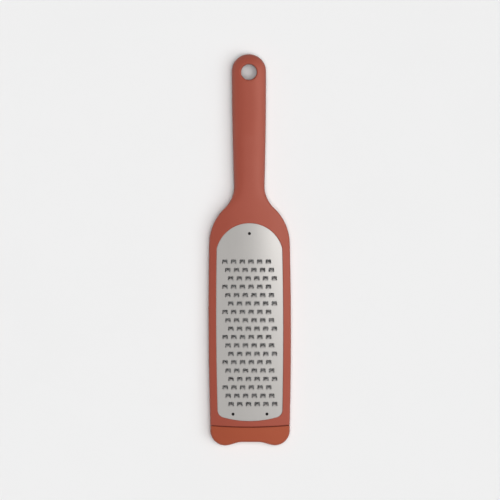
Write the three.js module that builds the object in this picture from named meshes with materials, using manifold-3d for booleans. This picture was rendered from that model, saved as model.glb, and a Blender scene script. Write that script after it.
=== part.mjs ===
// Coarse hand grater: an arched steel blade with punched teeth, a moulded frame that holds the blade
// all round and runs on into the handle, and a soft foot moulded over the frame's far end.
// Millimetres. +Y points to the handle and +Z out of the blade. The grater lies on its back on z = 0,
// with the origin under the middle of its length.

import * as THREE from 'three';
import {
  mergeGeometries, mergeVertices, toCreasedNormals,
} from 'three/addons/utils/BufferGeometryUtils.js';
import Module from 'manifold-3d';

// Whole object
const overallLength = 312;
const headWidth = 65.8;
const crownHeight = 15;
const archRadius = 120;

// Plan outline of the head, the shoulders and the handle
const headSideRadius = 2800;
const shoulderBelowWindow = 16.7;
const shoulderRadius = 39.5;
const neckRadius = 24.5;
const gripSideRadius = 2800;
const handleEndRadius = 13.65;

// Sections of the frame
const handleThickness = 14.2;
const handleRoundness = 2.5;
const topEdgeRadius = 2;
const baseEdgeRadius = 0.8;
const railWidth = 6.1;
const railWall = 2.6;
const endRailWidth = 4.6;
const endWall = 2.4;
const neckWall = 1.2;
const lipHeight = 0.7;
const shelfThickness = 1.7;
const hangHoleDiameter = 12.5;
const hangHoleChamfer = 0.9;
const hangHoleSetback = 0.7;

// Window that shows the blade
const windowLength = 157.6;
const windowTopShare = 0.858;
const windowTopCorner = 8;
const windowBottomRise = 4.6;
const windowBottomCorner = 6;

// Blade
const bladeThickness = 0.5;
const bladeEmbed = 2.4;
const bladeGap = 0.15;
const pinHoleDiameter = 2.4;
const topPinBelowWindow = 8.2;
const bottomPinAboveWindow = 5.5;
const bottomPinSpacing = 27;

// Teeth, in rows that step sideways by a share of the pitch and begin again after every third row
const toothPitch = 6.94;
const toothRowPitch = 6.68;
const staggerRows = 3;
const toothSideMargin = 6.6;
const toothTopMargin = 30.6;
const toothBottomMargin = 12.9;
const openingLength = 3.45;
const openingTopWidth = 4.2;
const openingFootWidth = 4.5;
const openingCorner = 0.45;
const tongueBaseWidth = 2.7;
const tongueTipWidth = 1.8;
const tongueReach = 1.6;
const tongueRise = 1.15;
const tongueRoot = 0.4;
const tongueInset = 0.05;
const tongueTipThickness = 0.2;
const tongueCurl = 1.5;
const tongueTaper = 3;

// Foot and the tongue of the frame that it is moulded over
const footLength = 14.9;
const seamGap = 0.5;
const seamBow = 1.4;
const footEndRadius = 2;
const footCornerRadius = 12;
const notchDepth = 2.75;
const notchFloorWidth = 12.8;
const lobeSpacing = 40.4;
const tongueWidth = 50;
const tongueLength = 9;
const tongueThickness = 3;
const tongueHeight = 4.5;
const tongueInWall = 1.8;
const keySpacing = 26;
const keyWidth = 10;
const keyLength = 4;
const keyGap = 0.3;

// How finely curves are cut into facets
const archSteps = 16;
const arcSteps = 6;
const topFacets = 7;
const filletFacets = 3;
const holeFacets = 28;
const tongueStations = [0, 0.45, 0.8, 1];
const creaseAngle = Math.PI / 6;
const cutMargin = 5;

const wasm = await Module();
wasm.setup();

// Places along the length, worked out from the foot end upwards
const footEndY = -overallLength / 2;
const handleEndY = overallLength / 2;
const seamY = footEndY + footLength;
const windowBottomY = seamY + endRailWidth;
const windowTopY = windowBottomY + windowLength;
const windowMiddleY = (windowBottomY + windowTopY) / 2;
const windowHalf = headWidth / 2 - railWidth;
const windowTopRise = windowHalf * windowTopShare;
const roomGrow = railWidth - railWall;
const handleRoundY = handleEndY - handleEndRadius;
const hangHoleY = handleRoundY - hangHoleSetback;
const neckLedgeY = windowTopY + roomGrow + neckWall;
const toothStagger = toothPitch / staggerRows;

/** Radius of an arc from half its chord and its rise. */
function radiusFromRise(halfChord, rise) {
  return (halfChord ** 2 + rise ** 2) / (2 * rise);
}

/** The point at one distance from circle a and another from circle b that scores highest. */
function meetingPoint(a, reachA, b, reachB, score) {
  const distance = Math.hypot(b.x - a.x, b.y - a.y);
  const along = (reachA ** 2 - reachB ** 2 + distance ** 2) / (2 * distance);
  const aside = Math.sqrt(reachA ** 2 - along ** 2);
  const ux = (b.x - a.x) / distance;
  const uy = (b.y - a.y) / distance;
  const first = { x: a.x + along * ux - aside * uy, y: a.y + along * uy + aside * ux };
  const second = { x: a.x + along * ux + aside * uy, y: a.y + along * uy - aside * ux };
  return score(first) > score(second) ? first : second;
}

/** Points along an arc of a circle, both ends included. */
function arc(circle, from, to, steps) {
  return Array.from({ length: steps + 1 }, (_, i) => {
    const angle = from + ((to - from) * i) / steps;
    return [circle.x + circle.r * Math.cos(angle), circle.y + circle.r * Math.sin(angle)];
  });
}

/** Evenly spaced values from one end, without the other. */
function spread(from, to, steps) {
  return Array.from({ length: steps }, (_, i) => from + ((to - from) * i) / steps);
}

/** Direction from one circle's centre to another's. */
function bearing(from, to) {
  return Math.atan2(to.y - from.y, to.x - from.x);
}

/** A right half outline, from foot to handle, completed with its mirror image. */
function mirrored(rightHalf) {
  const leftHalf = rightHalf.slice(1, -1).reverse();
  return [...rightHalf, ...leftHalf.map(([x, y]) => [-x, y])];
}

// The outline's right side is four arcs, each running smoothly into the next
const headSide = { x: headWidth / 2 - headSideRadius, y: windowMiddleY, r: headSideRadius };
const grip = { x: handleEndRadius - gripSideRadius, y: handleRoundY, r: gripSideRadius };
const shoulderY = windowTopY - shoulderBelowWindow;
const shoulderReach = headSideRadius - shoulderRadius;
const shoulder = {
  x: headSide.x + Math.sqrt(shoulderReach ** 2 - (shoulderY - headSide.y) ** 2),
  y: shoulderY,
  r: shoulderRadius,
};
const neck = {
  ...meetingPoint(shoulder, shoulderRadius + neckRadius, grip, gripSideRadius + neckRadius, (p) => p.x),
  r: neckRadius,
};
const shoulderStartY = headSide.y + headSide.r * Math.sin(bearing(headSide, shoulder));
const neckStartY = shoulder.y + shoulder.r * Math.sin(bearing(shoulder, neck));
const gripStartY = grip.y + grip.r * Math.sin(bearing(grip, neck));

/** Half the chord that a circle cuts across at a given y. */
function halfChord(circle, y) {
  return Math.sqrt(Math.max(circle.r ** 2 - (y - circle.y) ** 2, 0));
}

/** Half the width of the outline at a given y. */
function halfWidth(y) {
  if (y > handleRoundY) return halfChord({ y: handleRoundY, r: handleEndRadius }, y);
  if (y > gripStartY) return grip.x + halfChord(grip, y);
  if (y > neckStartY) return neck.x - halfChord(neck, y);
  if (y > shoulderStartY) return shoulder.x + halfChord(shoulder, y);
  return headSide.x + halfChord(headSide, y);
}

/** Height of the head's arched top at a given x. */
function archHeight(x) {
  return crownHeight - archRadius + Math.sqrt(archRadius ** 2 - x ** 2);
}

/** The rounded top edge of the head: its centre, and the angle from upright where it leaves the arch. */
function topEdge(half) {
  const x = half - topEdgeRadius;
  const reach = archRadius - topEdgeRadius;
  return { x, z: crownHeight - archRadius + Math.sqrt(reach ** 2 - x ** 2), angle: Math.asin(x / reach) };
}

/** Height of the head's top at a given x, with its rounded edge. */
function headTop(x, half) {
  const edge = topEdge(half);
  if (x < archRadius * Math.sin(edge.angle)) return archHeight(x);
  return edge.z + Math.sqrt(Math.max(topEdgeRadius ** 2 - (x - edge.x) ** 2, 0));
}

/** Right half of the head's section, from the crown round to the middle of the base. */
function headSection(half) {
  const edge = topEdge(half);
  const points = [];
  for (let i = 0; i <= topFacets; i += 1) {
    const x = (archRadius * Math.sin(edge.angle) * i) / topFacets;
    points.push([x, archHeight(x)]);
  }
  for (let i = 1; i <= filletFacets; i += 1) {
    const angle = edge.angle + ((Math.PI / 2 - edge.angle) * i) / filletFacets;
    points.push([edge.x + topEdgeRadius * Math.sin(angle), edge.z + topEdgeRadius * Math.cos(angle)]);
  }
  for (let i = 0; i <= filletFacets; i += 1) {
    const angle = Math.PI / 2 + (Math.PI / 2 * i) / filletFacets;
    const x = half - baseEdgeRadius + baseEdgeRadius * Math.sin(angle);
    points.push([x, baseEdgeRadius + baseEdgeRadius * Math.cos(angle)]);
  }
  points.push([half / 2, 0], [0, 0]);
  return points;
}

/** Right half of the handle's rounded section, with as many points; its end is domed. */
function handleSection(y) {
  const half = halfWidth(y);
  const pastRound = Math.max(y - handleRoundY, 0);
  const fullHalf = pastRound > 0 ? handleEndRadius : half;
  const middleZ = crownHeight - handleThickness / 2;
  const point = (turn) => {
    const x = half * Math.max(Math.cos(turn), 0) ** (2 / handleRoundness);
    const outward = Math.min(Math.hypot(x, pastRound) / fullHalf, 1);
    const rise = (1 - outward ** handleRoundness) ** (1 / handleRoundness);
    return [x, middleZ + Math.sign(turn) * (handleThickness / 2) * rise];
  };
  const upright = Math.PI / 2;
  const edgeTurn = Math.PI / 5;
  const sideTurn = Math.PI / 15;
  const baseTurn = Math.PI / 3;
  const turns = [
    ...spread(upright, edgeTurn, topFacets),
    ...spread(edgeTurn, sideTurn, filletFacets), sideTurn,
    ...spread(-sideTurn, -edgeTurn, filletFacets), -edgeTurn,
    -baseTurn, -upright,
  ];
  return turns.map(point);
}

/** Ring of points round the frame's outside at a given y: head, handle, or a smooth mix in the neck. */
function bodyRing(y) {
  const blendStart = neckLedgeY;
  const blendEnd = gripStartY + neckRadius / 2;
  const mix = THREE.MathUtils.smootherstep(y, blendStart, blendEnd);
  const handle = handleSection(y);
  const rightHalf = mix < 1
    ? headSection(halfWidth(y)).map(([x, z], i) => [
      THREE.MathUtils.lerp(x, handle[i][0], mix),
      THREE.MathUtils.lerp(z, handle[i][1], mix),
    ])
    : handle;
  return mirrored(rightHalf).map(([x, z]) => [x, y, z]);
}

/** Closed skin through rings of points. A ring of one point closes that end as a tip. */
function loft(rings) {
  const starts = [];
  const positions = [];
  const index = [];
  for (const ring of rings) {
    starts.push(positions.length / 3);
    positions.push(...ring.flat());
  }
  for (let k = 0; k + 1 < rings.length; k += 1) {
    const count = Math.max(rings[k].length, rings[k + 1].length);
    for (let i = 0; i < count; i += 1) {
      const next = (i + 1) % count;
      const [a, b] = [i, next].map((n) => starts[k] + (n % rings[k].length));
      const [c, d] = [i, next].map((n) => starts[k + 1] + (n % rings[k + 1].length));
      if (a !== b) index.push(a, b, c);
      if (c !== d) index.push(b, d, c);
    }
  }
  const last = rings.length - 1;
  for (let i = 1; i + 1 < rings[0].length; i += 1) {
    index.push(starts[0], starts[0] + i + 1, starts[0] + i);
  }
  for (let i = 1; i + 1 < rings[last].length; i += 1) {
    index.push(starts[last], starts[last] + i, starts[last] + i + 1);
  }
  const geometry = new THREE.BufferGeometry();
  geometry.setAttribute('position', new THREE.Float32BufferAttribute(positions, 3));
  geometry.setIndex(index);
  return geometry;
}

/** Upright prism over a plan outline. */
function prism(outline, bottom, top) {
  const shape = new THREE.Shape(outline.map(([x, y]) => new THREE.Vector2(x, y)));
  const geometry = new THREE.ExtrudeGeometry(shape, { depth: top - bottom, bevelEnabled: false });
  return geometry.translate(0, 0, bottom);
}

/** Box between two corners. */
function box(low, high) {
  const size = high.map((value, i) => value - low[i]);
  const middle = high.map((value, i) => (value + low[i]) / 2);
  return new THREE.BoxGeometry(...size).translate(...middle);
}

/** Solid of a closed geometry, ready to be joined and cut. */
function solid(geometry) {
  geometry.deleteAttribute('normal');
  geometry.deleteAttribute('uv');
  const merged = mergeVertices(geometry);
  const vertProperties = new Float32Array(merged.attributes.position.array);
  const triVerts = new Uint32Array(merged.index.array);
  return new wasm.Manifold(new wasm.Mesh({ numProp: 3, vertProperties, triVerts }));
}

/** Named mesh of a finished solid. */
function piece(name, body, material) {
  const { vertProperties, triVerts } = body.getMesh();
  const geometry = new THREE.BufferGeometry();
  geometry.setAttribute('position', new THREE.BufferAttribute(vertProperties, 3));
  geometry.setIndex(new THREE.BufferAttribute(triVerts, 1));
  const mesh = new THREE.Mesh(toCreasedNormals(geometry, creaseAngle), material);
  mesh.name = name;
  return mesh;
}

/** Plan outline of the window, with its sides, top and bottom moved outwards. */
function windowOutline(sideGrow, topGrow, bottomGrow) {
  const topRadius = radiusFromRise(windowHalf, windowTopRise);
  const bottomRadius = radiusFromRise(windowHalf, windowBottomRise);
  const side = { x: headSide.x, y: headSide.y, r: headSide.r - railWidth + sideGrow };
  const top = { x: 0, y: windowTopY - topRadius, r: topRadius + topGrow };
  const bottom = { x: 0, y: windowBottomY + bottomRadius, r: bottomRadius + bottomGrow };
  const corner = (end, radius, score) => ({
    ...meetingPoint(side, side.r - radius, end, end.r - radius, score),
    r: radius,
  });
  const topCorner = corner(top, windowTopCorner + Math.min(sideGrow, topGrow), (p) => p.y);
  const bottomCorner = corner(bottom, windowBottomCorner + Math.min(sideGrow, bottomGrow), (p) => -p.y);
  const lowTurn = bearing(bottom, bottomCorner);
  const sideTurns = [bearing(side, bottomCorner), bearing(side, topCorner)];
  const highTurn = bearing(top, topCorner);
  const middle = Math.PI / 2;
  return mirrored([
    [0, bottom.y - bottom.r],
    ...arc(bottom, -middle, lowTurn, arcSteps).slice(1),
    ...arc(bottomCorner, lowTurn, sideTurns[0], arcSteps).slice(1),
    ...arc(side, ...sideTurns, arcSteps).slice(1),
    ...arc(topCorner, sideTurns[1], highTurn, 2).slice(1),
    ...arc(top, highTurn, middle, arcSteps + 2).slice(1, -1),
    [0, top.y + top.r],
  ]);
}

/** Sheet that follows the arch under a plan outline, between two depths below the frame's top. */
function archedSheet(outline, upperDepth, lowerDepth) {
  const reach = headWidth / 2 + cutMargin;
  const across = Array.from({ length: archSteps + 1 }, (_, i) => reach * ((2 * i) / archSteps - 1));
  const upper = across.map((x) => [x, archHeight(x) - upperDepth]);
  const lower = across.map((x) => [x, archHeight(x) - lowerDepth]);
  const band = prism([...lower, ...upper.reverse()], 0, overallLength);
  band.rotateX(Math.PI / 2).translate(0, handleEndY, 0);
  return solid(band).intersect(solid(prism(outline, -cutMargin, crownHeight + cutMargin)));
}

/** Y of the seam between frame and foot at a given x; it bows towards the foot in the middle. */
function seamAt(x) {
  const radius = radiusFromRise(headWidth / 2, seamBow);
  return seamY + radius - Math.sqrt(radius ** 2 - x ** 2);
}

/** Tongue on the frame's end, or with grow the room for it in the foot, with the keys left open. */
function endTongue(grow, reachInside) {
  const low = [-tongueWidth / 2 - grow, seamY - tongueLength - grow, tongueHeight - grow];
  const high = [tongueWidth / 2 + grow, seamY + reachInside, tongueHeight + tongueThickness + grow];
  const key = (side) => {
    const x = (side * keySpacing) / 2;
    const y = seamY - tongueLength / 2;
    const halfX = keyWidth / 2 - grow;
    const halfY = keyLength / 2 - grow;
    return solid(box([x - halfX, y - halfY, 0], [x + halfX, y + halfY, crownHeight]));
  };
  return solid(box(low, high)).subtract(key(1)).subtract(key(-1));
}

/** Frame: the lofted body, opened for the blade and the space under it, with its tongue for the foot. */
function makeFrame() {
  const stations = [
    ...spread(footEndY, shoulderStartY, arcSteps),
    ...spread(shoulderStartY, neckLedgeY, arcSteps),
    ...spread(neckLedgeY, gripStartY, 2 * arcSteps),
    ...spread(gripStartY, gripStartY + neckRadius / 2, 3),
    ...spread(gripStartY + neckRadius / 2, handleRoundY, arcSteps),
    ...spread(0, Math.PI / 2, 2 * arcSteps).map((turn) => handleRoundY + handleEndRadius * Math.sin(turn)),
  ];
  const tip = [[0, handleEndY, crownHeight - handleThickness / 2]];
  const body = solid(loft([...stations.map(bodyRing), tip]));

  const through = [-cutMargin, crownHeight + cutMargin];
  const seamLine = Array.from({ length: archSteps + 1 }, (_, i) => {
    const x = headWidth * (i / archSteps - 0.5);
    return [x, seamAt(x)];
  });
  const far = footEndY - cutMargin;
  const pastSeam = [
    [-headWidth, far], [headWidth, far], [headWidth, seamAt(headWidth / 2)],
    ...seamLine.reverse(),
    [-headWidth, seamAt(headWidth / 2)],
  ];
  const shelfDepth = lipHeight + bladeThickness + bladeGap + shelfThickness;
  const room = windowOutline(roomGrow, roomGrow, endRailWidth - endWall);
  const grooveGrow = bladeEmbed + bladeGap;
  const groove = windowOutline(grooveGrow, grooveGrow, grooveGrow);
  const holeRadius = hangHoleDiameter / 2;
  const bottom = crownHeight - handleThickness;
  const holeProfile = [
    [0, bottom - cutMargin], [holeRadius + cutMargin, bottom - cutMargin],
    [holeRadius, bottom + hangHoleChamfer], [holeRadius, crownHeight - hangHoleChamfer],
    [holeRadius + cutMargin, crownHeight + cutMargin], [0, crownHeight + cutMargin],
  ].map(([radius, height]) => new THREE.Vector2(radius, height));
  const hole = new THREE.LatheGeometry(holeProfile, holeFacets);
  hole.rotateX(Math.PI / 2).translate(0, hangHoleY, 0);

  return body
    .subtract(solid(prism(pastSeam, ...through)))
    .subtract(solid(prism(windowOutline(0, 0, 0), ...through)))
    .subtract(archedSheet(room, shelfDepth, crownHeight + cutMargin))
    .subtract(archedSheet(groove, lipHeight - bladeGap, lipHeight + bladeThickness + bladeGap))
    .subtract(solid(hole))
    .add(endTongue(0, tongueInWall));
}

/** Middles of all teeth in plan. */
function toothPlaces() {
  const rows = Math.floor((windowLength - toothTopMargin - toothBottomMargin) / toothRowPitch) + 1;
  const fieldWidth = 2 * (windowHalf - toothSideMargin) - (staggerRows - 1) * toothStagger;
  const columns = Math.floor(fieldWidth / toothPitch) + 1;
  const places = [];
  for (let row = 0; row < rows; row += 1) {
    const step = ((row % staggerRows) - (staggerRows - 1) / 2) * toothStagger;
    for (let column = 0; column < columns; column += 1) {
      const x = (column - (columns - 1) / 2) * toothPitch + step;
      places.push([x, windowTopY - toothTopMargin - row * toothRowPitch]);
    }
  }
  return places;
}

/** One tooth's opening, as a cutter across the sheet at the origin. */
function toothOpening() {
  const end = openingLength / 2;
  const topHalf = openingTopWidth / 2;
  const footHalf = openingFootWidth / 2;
  const right = [
    [footHalf - openingCorner, -end], [footHalf, -end + openingCorner],
    [topHalf, end - openingCorner], [topHalf - openingCorner, end],
  ];
  const left = right.map(([x, y]) => [-x, y]).reverse();
  return prism([...right, ...left], -2 * bladeThickness, bladeThickness);
}

/** One tooth's tongue: it leaves the opening's foot edge, curls up and thins to its cutting edge. */
function toothTongue() {
  const foot = -openingLength / 2;
  const section = (share) => {
    const half = (tongueBaseWidth - (tongueBaseWidth - tongueTipWidth) * share ** tongueTaper) / 2;
    const y = foot + tongueReach * share;
    const top = tongueRise * share ** tongueCurl - tongueInset;
    const sheet = bladeThickness - 2 * tongueInset;
    const under = top - THREE.MathUtils.lerp(sheet, tongueTipThickness, share);
    return [[-half, y, under], [-half, y, top], [half, y, top], [half, y, under]];
  };
  const root = section(0).map(([x, y, z]) => [x, y - tongueRoot, z]);
  return loft([root, ...tongueStations.map(section)]);
}

/** Blade: the arched sheet, its pin holes, and the teeth square to the arch at their places. */
function makeBlade() {
  const outline = windowOutline(bladeEmbed, bladeEmbed, bladeEmbed);
  const sheet = archedSheet(outline, lipHeight, lipHeight + bladeThickness);
  const placed = (geometry) => toothPlaces().map(([x, y]) => {
    const copy = geometry.clone();
    copy.rotateY(Math.asin(x / archRadius));
    return copy.translate(x, y, archHeight(x) - lipHeight);
  });
  const plain = (geometry) => {
    geometry.deleteAttribute('normal');
    geometry.deleteAttribute('uv');
    return mergeVertices(geometry);
  };
  const openings = mergeGeometries(placed(plain(toothOpening())));
  const tongues = mergeGeometries(placed(plain(toothTongue())));
  const pinPlaces = [
    [0, windowTopY - topPinBelowWindow],
    [-bottomPinSpacing / 2, windowBottomY + bottomPinAboveWindow],
    [bottomPinSpacing / 2, windowBottomY + bottomPinAboveWindow],
  ];
  const pinRadius = pinHoleDiameter / 2;
  const pins = mergeGeometries(pinPlaces.map(([x, y]) => {
    const pin = new THREE.CylinderGeometry(pinRadius, pinRadius, crownHeight, 2 * arcSteps);
    return plain(pin.rotateX(Math.PI / 2).translate(x, y, archHeight(x)));
  }));
  return sheet.subtract(solid(openings)).subtract(solid(pins)).add(solid(tongues));
}

/** How far the foot's end stands back from its lobes at a given x: the notch and the round corners. */
function footSetback(x, half) {
  const floorEnd = notchFloorWidth / 2;
  const lobe = lobeSpacing / 2;
  const share = THREE.MathUtils.clamp((x - floorEnd) / (lobe - floorEnd), 0, 1);
  const notch = notchDepth * (1 - THREE.MathUtils.smoothstep(share, 0, 1));
  const intoCorner = Math.max(x - (half - footCornerRadius), 0);
  const corner = footCornerRadius - Math.sqrt(Math.max(footCornerRadius ** 2 - intoCorner ** 2, 0));
  return notch + corner;
}

/** Foot: a cap with the head's arched top, cut out for the frame's tongue but not for its keys. */
function makeFoot() {
  const half = halfWidth(seamAt(headWidth / 2));
  const cornerStart = half - footCornerRadius;
  const middle = Array.from({ length: 2 * arcSteps }, (_, i) => (cornerStart * i) / (2 * arcSteps));
  const corner = arc({ x: cornerStart, y: 0, r: footCornerRadius }, Math.PI / 2, 0, arcSteps + 2);
  const rightHalf = [...middle, ...corner.map(([x]) => x)];
  const across = [...rightHalf.slice(1).reverse().map((x) => -x), ...rightHalf];
  const ring = (x) => {
    const out = Math.abs(x);
    const top = headTop(out, half);
    const intoBase = Math.max(out - (half - baseEdgeRadius), 0);
    const base = baseEdgeRadius - Math.sqrt(Math.max(baseEdgeRadius ** 2 - intoBase ** 2, 0));
    const seam = seamAt(x) - seamGap;
    const end = footEndY + footSetback(out, half);
    const quarter = Math.PI / 2;
    const topRound = arc({ x: end + footEndRadius, y: top - footEndRadius, r: footEndRadius },
      quarter, 2 * quarter, filletFacets + 1);
    const baseRound = arc({ x: end + baseEdgeRadius, y: base + baseEdgeRadius, r: baseEdgeRadius },
      2 * quarter, 3 * quarter, filletFacets);
    return [[seam, base], [seam, top], ...topRound, ...baseRound].map(([y, z]) => [x, y, z]);
  };
  return solid(loft(across.map(ring))).subtract(endTongue(keyGap, footLength));
}

const framePlastic = new THREE.MeshStandardMaterial({ color: 0xa85c4c, roughness: 0.5, metalness: 0 });
const bladeSteel = new THREE.MeshStandardMaterial({ color: 0xc8c5c1, roughness: 0.35, metalness: 1 });
const footPlastic = new THREE.MeshStandardMaterial({ color: 0xa65a42, roughness: 0.7, metalness: 0 });

const grater = new THREE.Group();
grater.add(piece('frame', makeFrame(), framePlastic));
grater.add(piece('blade', makeBlade(), bladeSteel));
grater.add(piece('foot', makeFoot(), footPlastic));

export default grater;
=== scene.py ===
"""Coarse hand grater: smooth skins and finishes for the frame, the blade and the foot, and a pale stage."""

import math

import bmesh
import bpy
import numpy as np
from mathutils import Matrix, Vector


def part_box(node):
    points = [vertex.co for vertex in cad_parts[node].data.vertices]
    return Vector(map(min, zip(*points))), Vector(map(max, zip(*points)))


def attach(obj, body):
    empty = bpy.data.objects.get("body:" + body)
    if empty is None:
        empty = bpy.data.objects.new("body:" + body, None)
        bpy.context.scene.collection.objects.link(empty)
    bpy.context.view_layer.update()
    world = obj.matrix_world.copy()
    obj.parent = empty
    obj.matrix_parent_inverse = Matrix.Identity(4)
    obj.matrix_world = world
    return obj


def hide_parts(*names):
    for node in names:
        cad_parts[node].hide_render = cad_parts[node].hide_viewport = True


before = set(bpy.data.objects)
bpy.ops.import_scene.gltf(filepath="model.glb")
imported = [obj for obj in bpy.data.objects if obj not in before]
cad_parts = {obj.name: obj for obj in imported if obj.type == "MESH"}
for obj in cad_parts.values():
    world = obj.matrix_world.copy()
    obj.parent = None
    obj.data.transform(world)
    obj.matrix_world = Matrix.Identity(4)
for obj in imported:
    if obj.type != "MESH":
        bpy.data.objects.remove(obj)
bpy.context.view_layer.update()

bl_info = {
    "name": "Coarse hand grater",
    "version": (1, 0, 0),
    "blender": (4, 5, 0),
    "location": "3D View > Sidebar > Grater",
    "description": "Builds the visible pieces of a coarse hand grater and a pale stage to show it on",
    "category": "Add Mesh",
}

MM = 0.001

# Extents of the CAD solids that the skins keep.
FOOT_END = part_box("foot")[0].y
HANDLE_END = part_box("frame")[1].y
HEAD_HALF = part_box("frame")[1].x
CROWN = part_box("frame")[1].z


def length(label, text, millimetres):
    """A length property whose default is given in millimetres."""
    return bpy.props.FloatProperty(name=label, description=text, default=millimetres * MM,
                                   unit="LENGTH", precision=5)


def colour(label, text, values):
    """A colour property."""
    return bpy.props.FloatVectorProperty(name=label, description=text, default=values,
                                         subtype="COLOR", size=3, min=0.0, max=1.0)


class GraterSizes(bpy.types.PropertyGroup):
    """Sizes of the plan outline, the sections, the teeth and the foot."""

    arch_radius: length("Arch radius", "Radius of the head's arched top across its width", 120)
    head_side_radius: length("Head side radius", "Radius of the long bulge of the head's sides", 2800)
    shoulder_below_window: length("Shoulder drop", "From the window's top to the shoulder's centre", 16.7)
    shoulder_radius: length("Shoulder radius", "Radius of the round shoulder", 39.5)
    neck_radius: length("Neck radius", "Radius of the hollow between shoulder and handle", 24.5)
    grip_side_radius: length("Grip side radius", "Radius of the handle's long sides", 2800)
    handle_end_radius: length("Handle end radius", "Radius of the handle's round end", 13.65)
    handle_thickness: length("Handle thickness", "Height of the handle's rounded section", 14.2)
    top_edge: length("Top edge radius", "Rounding along the head's upper edge", 2.0)
    base_edge: length("Base edge radius", "Rounding along the lower edges", 0.8)
    seam_edge: length("Seam edge radius", "Rounding of the upper edges along the seam", 0.6)
    rail_width: length("Rail width", "Plastic beside the blade", 6.1)
    rail_wall: length("Rail wall", "Thickness of the skirt under the rails", 2.6)
    end_rail_width: length("End rail width", "Plastic between the blade and the seam", 4.6)
    end_wall: length("End wall", "Thickness of the wall next to the foot", 2.4)
    neck_ledge: length("Neck ledge", "Plastic kept level past the window's top", 4.7)
    neck_wall: length("Neck wall", "Thickness of the skirt under the neck ledge", 1.2)
    lip: length("Lip", "Height of the frame above the blade", 0.7)
    lip_edge: length("Lip edge radius", "Rounding of the frame's edge over the blade", 0.45)
    shelf: length("Shelf", "Plastic under the blade's rim", 1.7)
    hang_hole: length("Hang hole", "Diameter of the hole in the handle's end", 12.5)
    hole_back: length("Hole back", "From the centre of the round end back to the hang hole's centre", 0.7)
    hang_hole_edge: length("Hang hole edge", "Rounding of the hang hole's rim", 1.3)
    window_length: length("Window length", "Length of the blade that shows", 157.6)
    window_top_rise: length("Window top rise", "Rise of the arc at the window's top", 23.0)
    window_top_corner: length("Window top corner", "Rounding between the window's sides and top", 8.0)
    window_bottom_corner: length("Window low corner", "Rounding between the window's sides and bottom", 6.0)
    window_bottom_rise: length("Window bottom rise", "Rise of the arc at the window's bottom", 4.6)
    blade_thickness: length("Blade thickness", "Thickness of the steel sheet", 0.5)
    blade_embed: length("Blade embed", "Depth of the blade's rim in the frame", 2.4)
    tooth_pitch: length("Tooth pitch", "Between teeth in a row", 6.94)
    row_pitch: length("Row pitch", "Between rows of teeth", 6.68)
    first_row: length("First row", "From the window's top to the first row of teeth", 30.6)
    opening_length: length("Opening length", "Length of a tooth's opening along the blade", 3.45)
    opening_top: length("Opening top", "Width of a tooth's opening at its top", 4.2)
    opening_foot: length("Opening foot", "Width of a tooth's opening at its foot", 4.5)
    opening_corner: length("Opening corner", "Curl of the opening's corners", 0.25)
    tongue_reach: length("Tongue reach", "Length of a tooth's tongue over its opening", 1.6)
    tongue_rise: length("Tongue rise", "Height of the tongue's tip over the sheet", 1.0)
    tongue_tip: length("Tongue tip", "Width of the tongue's tip", 1.8)
    cutting_edge: length("Cutting edge", "Thickness of the tongue at its tip", 0.15)
    pin_hole: length("Pin hole", "Diameter of the small round holes in the blade", 2.4)
    top_pin: length("Top pin", "From the window's top down to the upper pin hole", 8.2)
    low_pin: length("Low pins", "From the window's bottom up to the lower pin holes", 5.5)
    pin_spacing: length("Pin spacing", "Between the lower pin holes", 27.0)
    foot_length: length("Foot length", "From the foot's end to the seam", 14.9)
    foot_corner: length("Foot corner", "Radius of the foot's corners in plan", 12.0)
    foot_edge: length("Foot edge radius", "Rounding along the foot's upper edge", 2.0)
    notch_depth: length("Notch depth", "Depth of the hollow in the foot's end", 2.75)
    notch_floor: length("Notch floor", "Width of the hollow's straight floor", 12.8)
    lobe_spacing: length("Lobe spacing", "Between the foot's two lobes", 40.4)
    seam_gap: length("Seam gap", "Gap between frame and foot", 0.5)
    seam_bow: length("Seam bow", "Bow of the seam over the head's width", 1.4)


class GraterColours(bpy.types.PropertyGroup):
    """Colours of the three materials and of the stage."""

    plastic: colour("Frame plastic", "Terracotta of the frame and handle", (0.246, 0.0486, 0.0299))
    soft_plastic: colour("Foot plastic", "More orange terracotta of the soft foot", (0.269, 0.0540, 0.0236))
    steel: colour("Steel", "Satin stainless steel", (0.40, 0.385, 0.37))
    floor: colour("Floor", "Pale grey surface under the grater", (0.80, 0.80, 0.80))


# Points along the parts of the frame's outline, and across the neck and the handle.
BOTTOM_STEPS = 26
CORNER_STEPS = 16
SIDE_STEPS = 90
TOP_CORNER_STEPS = 6
SHOULDER_STEPS = 24
LINE_STEPS = 34
NECK_STEPS = 90
GRIP_STEPS = 40
END_SIDE_STEPS = 20
END_ARC_STEPS = 40

# Rows of the sections that are carried round the window and the hang hole.
LIP_STEPS = 5
RAIL_STEPS = 18
BASE_STEPS = 12
RIM_STEPS = 8
END_RAIL_STEPS = 22
WALL_SHARES = np.array([0, 0.22, 0.33, 0.44, 0.55, 0.66, 0.77, 0.88, 1])

# The handle's section is a superellipse of this power over a band of this height at its sides.
ROUNDNESS = 2.5
SIDE_BAND = 0.6 * MM

# Small edges under the frame, and the gap where two pieces touch.
SKIRT_EDGE = 0.4 * MM
SHELF_CHAMFER = 0.8 * MM
SHELF_CHAMFER_REACH = 0.25
SHELF_EDGE = 0.3 * MM
TOUCH_GAP = 0.03 * MM


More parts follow.
